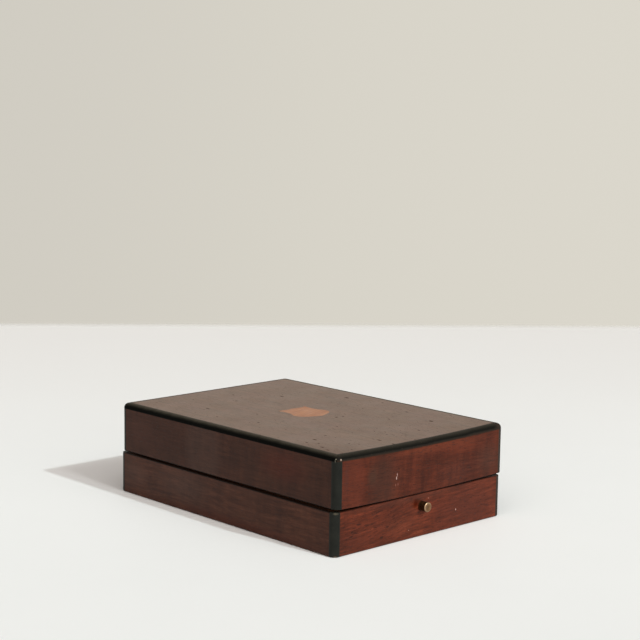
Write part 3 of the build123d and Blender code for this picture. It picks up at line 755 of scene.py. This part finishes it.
def end_edit():
    """Turns all faces one way, outwards where they close, and leaves edit mode."""
    bpy.ops.mesh.select_all(action="SELECT")
    bpy.ops.mesh.normals_make_consistent(inside=False)
    bpy.ops.object.mode_set(mode="OBJECT")


def place_in_mesh():
    """Moves the place, turn and size of the piece at hand into its mesh."""
    bpy.ops.object.transform_apply(location=True, rotation=True, scale=True)


def modify(kind, **settings):
    """Adds a modifier to the piece at hand and applies it."""
    change = bpy.context.object.modifiers.new(kind.title(), kind)
    for name, setting in settings.items():
        setattr(change, name, setting)
    bpy.ops.object.modifier_apply(modifier=change.name)


def settle(name, material):
    """Gives the finished piece its name and finish, with its place in its mesh."""
    piece = bpy.context.object
    place_in_mesh()
    piece.name = piece.data.name = name
    piece.data.materials.clear()
    piece.data.materials.append(material)
    return piece


def button_profile():
    """Stations along the button's axis from the stem's end outwards, as (y, radius)."""
    collar_back = -half_depth + COLLAR_BACK
    collar_front = collar_back - COLLAR_THICKNESS
    stem_and_collar = [
        (button_high.y, STEM_RADIUS - STEM_EASE),
        (button_high.y - STEM_EASE, STEM_RADIUS),
        (collar_back, STEM_RADIUS),
        (collar_back, COLLAR_RADIUS - COLLAR_EASE),
        (collar_back - COLLAR_EASE, COLLAR_RADIUS),
        (collar_front + COLLAR_EASE, COLLAR_RADIUS),
        (collar_front, COLLAR_RADIUS - COLLAR_EASE),
        (collar_front, BUTTON_RADIUS),
    ]
    stub = [(front_skin - STUB_START - STUB_STEP * number, BUTTON_RADIUS) for number in range(STUB_RINGS)]
    arc = [pi / 2 * number / ARC_STEPS for number in range(ARC_STEPS + 1)]
    shoulder = BUTTON_RADIUS - WORN_EDGE
    worn = [(button_low.y + WORN_EDGE * (1 - sin(turn)), shoulder + WORN_EDGE * cos(turn)) for turn in arc]
    dish = [(button_low.y + DISH_DEPTH * (1 - share ** 2), lip_radius * share) for share in DISH_SHARES]
    return [*stem_and_collar, *stub, *worn, *dish]


def turned_button():
    """A disc that is pulled out and resized from station to station, as on a lathe."""
    (y, radius), *stations = button_profile()
    begin(bpy.ops.mesh.primitive_circle_add, (0, y, button_z), vertices=ROUND_SIDES, radius=radius * MM,
          fill_type="NGON", rotation=(pi / 2, 0, 0))
    place_in_mesh()
    bpy.ops.object.mode_set(mode="EDIT")
    for next_y, next_radius in stations:
        pull(next_y - y, 0)
        share = next_radius / radius
        centre = (0, next_y * MM, button_z * MM)
        bpy.ops.transform.resize(value=(share, 1, share), center_override=centre)
        y, radius = next_y, next_radius
    end_edit()
    bpy.ops.object.shade_smooth_by_angle(angle=radians(40))
    return settle("push_button_turned", button_brass)


button = turned_button()
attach(button, "catch")
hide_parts("push_button")

# Catch spring: a leaf that is bent round two former pins, drilled, and eased at its edges
spring_low, spring_high = (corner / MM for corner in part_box("catch_spring"))
hook_low, hook_high = (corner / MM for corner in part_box("catch_hook"))
LEAF_THICKNESS, BEND_RADIUS, LEAF_EASE = 0.7, 1.6, 0.12
LEAF_STRIPS, BEND_STEPS, STRAIGHT_STEPS = 8, 6, 18
JOGGLE_LOW, JOGGLE_HIGH = 14.2, 17.6
SCREW_HEIGHTS, SCREW_HOLE_RADIUS = (8.8, 12.4), 0.8
RIVET_PLACES, RIVET_HOLE_RADIUS = (-1.8, 1.8), 0.75
BIT_LENGTH, BIT_FORWARD, BIT_SIDES = 8, 2, 32
rivet_z = (hook_low.z + hook_high.z) / 2


def bend(corner, first, last):
    """Points round one bend of the leaf's middle line, between its directions before and after."""
    reach = BEND_RADIUS * (first.angle(last) / 2)
    near, far = corner - first * reach, corner + last * reach
    shares = [number / BEND_STEPS for number in range(BEND_STEPS + 1)]
    return [
        tuple(near * (1 - share) ** 2 + corner * 2 * share * (1 - share) + far * share ** 2)
        for share in shares
    ]


def leaf_line():
    """The leaf's middle line from foot to top, as (y, z), with its two bends rounded."""
    foot_y, top_y = spring_low.y + LEAF_THICKNESS / 2, spring_high.y - LEAF_THICKNESS / 2
    slope = Vector((top_y - foot_y, JOGGLE_HIGH - JOGGLE_LOW)).normalized()
    upright = Vector((0, 1))
    line = [(foot_y, spring_low.z + height) for height in range(int(JOGGLE_LOW - spring_low.z) - 1)]
    line += bend(Vector((foot_y, JOGGLE_LOW)), upright, slope)
    line += bend(Vector((top_y, JOGGLE_HIGH)), slope, upright)
    start = line[-1][1]
    straight = spring_high.z - start
    line += [(top_y, start + straight * (number + 1) / STRAIGHT_STEPS) for number in range(STRAIGHT_STEPS)]
    return line


def drill(x, z, radius):
    """Cuts a round hole along Y through the piece at hand."""
    piece = bpy.context.object
    begin(bpy.ops.mesh.primitive_cylinder_add, (x, spring_high.y - BIT_FORWARD, z), vertices=BIT_SIDES,
          radius=radius * MM, depth=BIT_LENGTH * MM, rotation=(pi / 2, 0, 0))
    bit = bpy.context.object
    bpy.ops.object.select_all(action="DESELECT")
    piece.select_set(True)
    bpy.context.view_layer.objects.active = piece
    modify("BOOLEAN", operation="DIFFERENCE", solver="EXACT", object=bit)
    bpy.data.objects.remove(bit)


def bent_spring():
    """A strip pulled up along the leaf's line, thickened, drilled and eased."""
    (y, z), *stations = leaf_line()
    width = spring_high.x - spring_low.x
    begin(bpy.ops.mesh.primitive_grid_add, (0, y, z), x_subdivisions=LEAF_STRIPS, y_subdivisions=1,
          size=width * MM)
    place_in_mesh()
    bpy.ops.object.mode_set(mode="EDIT")
    pick(lambda place: place.y < y * MM)
    bpy.ops.mesh.delete(type="VERT")
    pick(lambda place: True)
    bpy.ops.transform.translate(value=(0, -width / 2 * MM, 0))
    for next_y, next_z in stations:
        pull(next_y - y, next_z - z)
        y, z = next_y, next_z
    end_edit()
    modify("SOLIDIFY", thickness=LEAF_THICKNESS * MM, offset=0.0)
    for height in SCREW_HEIGHTS:
        drill(0.0, height, SCREW_HOLE_RADIUS)
    for x in RIVET_PLACES:
        drill(x, rivet_z, RIVET_HOLE_RADIUS)
    modify("BEVEL", width=LEAF_EASE * MM, segments=2, limit_method="ANGLE", angle_limit=radians(50))
    bpy.ops.object.shade_smooth_by_angle(angle=radians(35))
    return settle("catch_spring_bent", steel)


spring = bent_spring()
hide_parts("catch_spring")
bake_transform(spring)

# Baize linings: cut sheets, glued down, with a slight cockle. The flat size is in metres, and the other
# lengths are in millimetres.
BAIZE_FLAT = (0.1436, 0.2096)
BAIZE_CELLS = (74, 106)
BAIZE_THICKNESS = 0.62
COCKLE, COCKLE_SIZE = 0.12, 18
START_AWAY = 1


def lining(name, old, carrier, body, upwards):
    """A cloth sheet that follows the board it's glued to."""
    low, high = (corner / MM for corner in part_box(old))
    side = 1 if upwards else -1
    start_z = (high.z if upwards else low.z) + side * START_AWAY
    begin(bpy.ops.mesh.primitive_grid_add, ((low.x + high.x) / 2, (low.y + high.y) / 2, start_z),
          x_subdivisions=BAIZE_CELLS[0], y_subdivisions=BAIZE_CELLS[1], size=1.0)
    bpy.ops.object.mode_set(mode="EDIT")
    bpy.ops.transform.resize(value=(*BAIZE_FLAT, 1))
    bpy.ops.object.mode_set(mode="OBJECT")
    place_in_mesh()
    modify("SHRINKWRAP", target=nodes[carrier], wrap_method="PROJECT", use_project_z=True,
           use_negative_direction=upwards, use_positive_direction=not upwards, use_project_x=False,
           use_project_y=False)
    clouds = bpy.data.textures.new(f"{name}_cockle", "CLOUDS")
    clouds.noise_scale = COCKLE_SIZE * MM
    modify("DISPLACE", texture=clouds, strength=COCKLE * MM, mid_level=0.0, direction="Z")
    bpy.ops.object.mode_set(mode="EDIT")
    bpy.ops.mesh.select_all(action="SELECT")
    bpy.ops.transform.translate(value=(0, 0, side * COCKLE / 2 * MM))
    bpy.ops.object.mode_set(mode="OBJECT")
    modify("SOLIDIFY", thickness=BAIZE_THICKNESS * MM, offset=side)
    bpy.ops.object.shade_smooth_by_angle(angle=radians(50))
    sheet = settle(name, baize)
    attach(sheet, body)
    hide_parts(old)


lining("base_floor_baize", "base_floor_lining", "base_bottom_board", "base", True)
lining("lid_baize", "lid_lining", "lid_top_board", "lid", False)

# Camera, at the photograph's place: lens and sensor in millimetres, angles in degrees, places in metres
LENS, SENSOR_WIDTH = 91.216, 36
AZIMUTH, ELEVATION, ROLL = -43.197, 8.411, -0.781
AIM = Vector((0.03786, 0.02817, 0.12373))
DISTANCE = 1.1754
NEAREST, FARTHEST = 0.01, 50


def place_camera():
    """Adds the camera, and gives its direction to the right and its place."""
    turn, lift, roll = radians(AZIMUTH), radians(ELEVATION), radians(ROLL)
    right = Vector((cos(turn), sin(turn), 0))
    back = Vector((sin(turn) * cos(lift), -cos(turn) * cos(lift), sin(lift)))
    up = back.cross(right)
    across = right * cos(roll) - up * sin(roll)
    upwards = right * sin(roll) + up * cos(roll)
    camera = bpy.data.objects.new("camera", bpy.data.cameras.new("camera"))
    bpy.context.scene.collection.objects.link(camera)
    camera.data.lens, camera.data.sensor_width = LENS, SENSOR_WIDTH
    camera.data.clip_start, camera.data.clip_end = NEAREST, FARTHEST
    turned = Matrix((across, upwards, back)).transposed().to_4x4()
    camera.matrix_world = Matrix.Translation(AIM + back * DISTANCE) @ turned
    bpy.context.scene.camera = camera
    return right, camera.location.copy()


image_right, eye = place_camera()

# Floor: pale and matt. It ends some way behind the box, so its far edge has a distance from the
# camera, a blur and a slant to the picture. Lengths are in metres, and the slant is in degrees.
FLOOR_SIZE, FLOOR_DROP = 9.0, 0.0002
FLOOR_EDGE, FLOOR_EDGE_BLUR, FLOOR_EDGE_SKEW = 1.95, 0.022, 3.8
FLOOR_FADE_START = 1.05
edge_turn = radians(AZIMUTH + FLOOR_EDGE_SKEW)
edge_normal = Vector((-sin(edge_turn), cos(edge_turn), 0))


def floor_finish():
    """Pale paint, with painted shade that makes it a little darker far from the camera, and clear past the
    floor's far edge.
    """
    finish = Finish("pale_table")
    metres = finish.node("ShaderNodeTexCoord", {}, {}, "Object")
    far = finish.along(metres, edge_normal) - eye.dot(edge_normal)
    cloud = finish.noise(finish.place, scale=0.0035, detail=4.0, roughness=0.55)
    grit = finish.noise(finish.place, scale=0.7, detail=3.0)
    pale = finish.ramp(cloud, (0.35, srgb(235, 235, 234)), (0.65, srgb(237, 237, 236)))
    # Painted shade: darker far from the camera
    pale = finish.colour(finish.step(far, FLOOR_FADE_START, FLOOR_EDGE), pale, srgb(228, 225, 223))
    rough = 0.62 + (grit - 0.5) * 0.1
    varying = {"Base Color": pale, "Roughness": rough, "Normal": finish.bump(grit, 0.02)}
    surface = finish.surface(varying, {"Specular IOR Level": 0.2})
    gone = finish.step(far, FLOOR_EDGE - FLOOR_EDGE_BLUR, FLOOR_EDGE + FLOOR_EDGE_BLUR)
    clear = finish.node("ShaderNodeBsdfTransparent", {}, {})
    return finish.shown(finish.mixed(gone, surface, clear))


bpy.ops.object.select_all(action="DESELECT")
bpy.ops.mesh.primitive_plane_add(size=FLOOR_SIZE, location=(0, 0, -FLOOR_DROP))
table = bpy.context.object
table.name = "table_top"
table.data.materials.append(floor_finish())

# World: a greige backdrop, from left to right, and plain soft light on the object
BACKDROP = ((0.0, srgb(208, 204, 194)), (0.5, srgb(215, 211, 200)), (1.0, srgb(219, 215, 204)))
BACKDROP_SPREAD = 0.25
FILL = (0.133, 0.128, 0.122, 1)


def light_world():
    """Shows the backdrop to camera, glossy and transmitted rays, and lights the rest with the fill."""
    world = bpy.data.worlds.new("room")
    bpy.context.scene.world = world
    shading = Shading(world)
    towards = shading.node("ShaderNodeTexCoord", {}, {}, "Generated")
    share = shading.step(shading.along(towards, image_right), -BACKDROP_SPREAD, BACKDROP_SPREAD)
    seen = shading.node("ShaderNodeBackground", {}, {"Color": shading.ramp(share, *BACKDROP)})
    fill = shading.node("ShaderNodeBackground", {}, {"Color": FILL})
    camera_ray, glossy_ray, clear_ray = (
        shading.node("ShaderNodeLightPath", {}, {}, f"Is {kind} Ray")
        for kind in ("Camera", "Glossy", "Transmission")
    )
    direct = camera_ray.larger(glossy_ray).larger(clear_ray)
    shading.node("ShaderNodeOutputWorld", {}, {"Surface": shading.mixed(direct, fill, seen)})


light_world()

# Lamps: direction towards the lamp, strength, angle in degrees and colour
LAMPS = {
    "window_light": ((0.0975, -0.810, 0.578), 1.69, 1.6, (0.865, 0.99, 1.0)),
    "second_window_light": ((-0.025, -0.80, 0.60), 0.70, 9, (0.95, 1.0, 0.99)),
    "soft_front_light": ((-0.42, -0.61, 0.68), 2.34, 95, (1.0, 0.928, 0.882)),
}
for lamp_name, (towards_lamp, strength, angle, tint) in LAMPS.items():
    lamp = bpy.data.objects.new(lamp_name, bpy.data.lights.new(lamp_name, "SUN"))
    lamp.data.energy, lamp.data.angle, lamp.data.color = strength, radians(angle), tint
    lamp.rotation_euler = Vector(towards_lamp).to_track_quat("Z", "Y").to_euler()
    bpy.context.scene.collection.objects.link(lamp)

bpy.context.scene.view_settings.view_transform = "Standard"

bpy.context.view_layer.update()
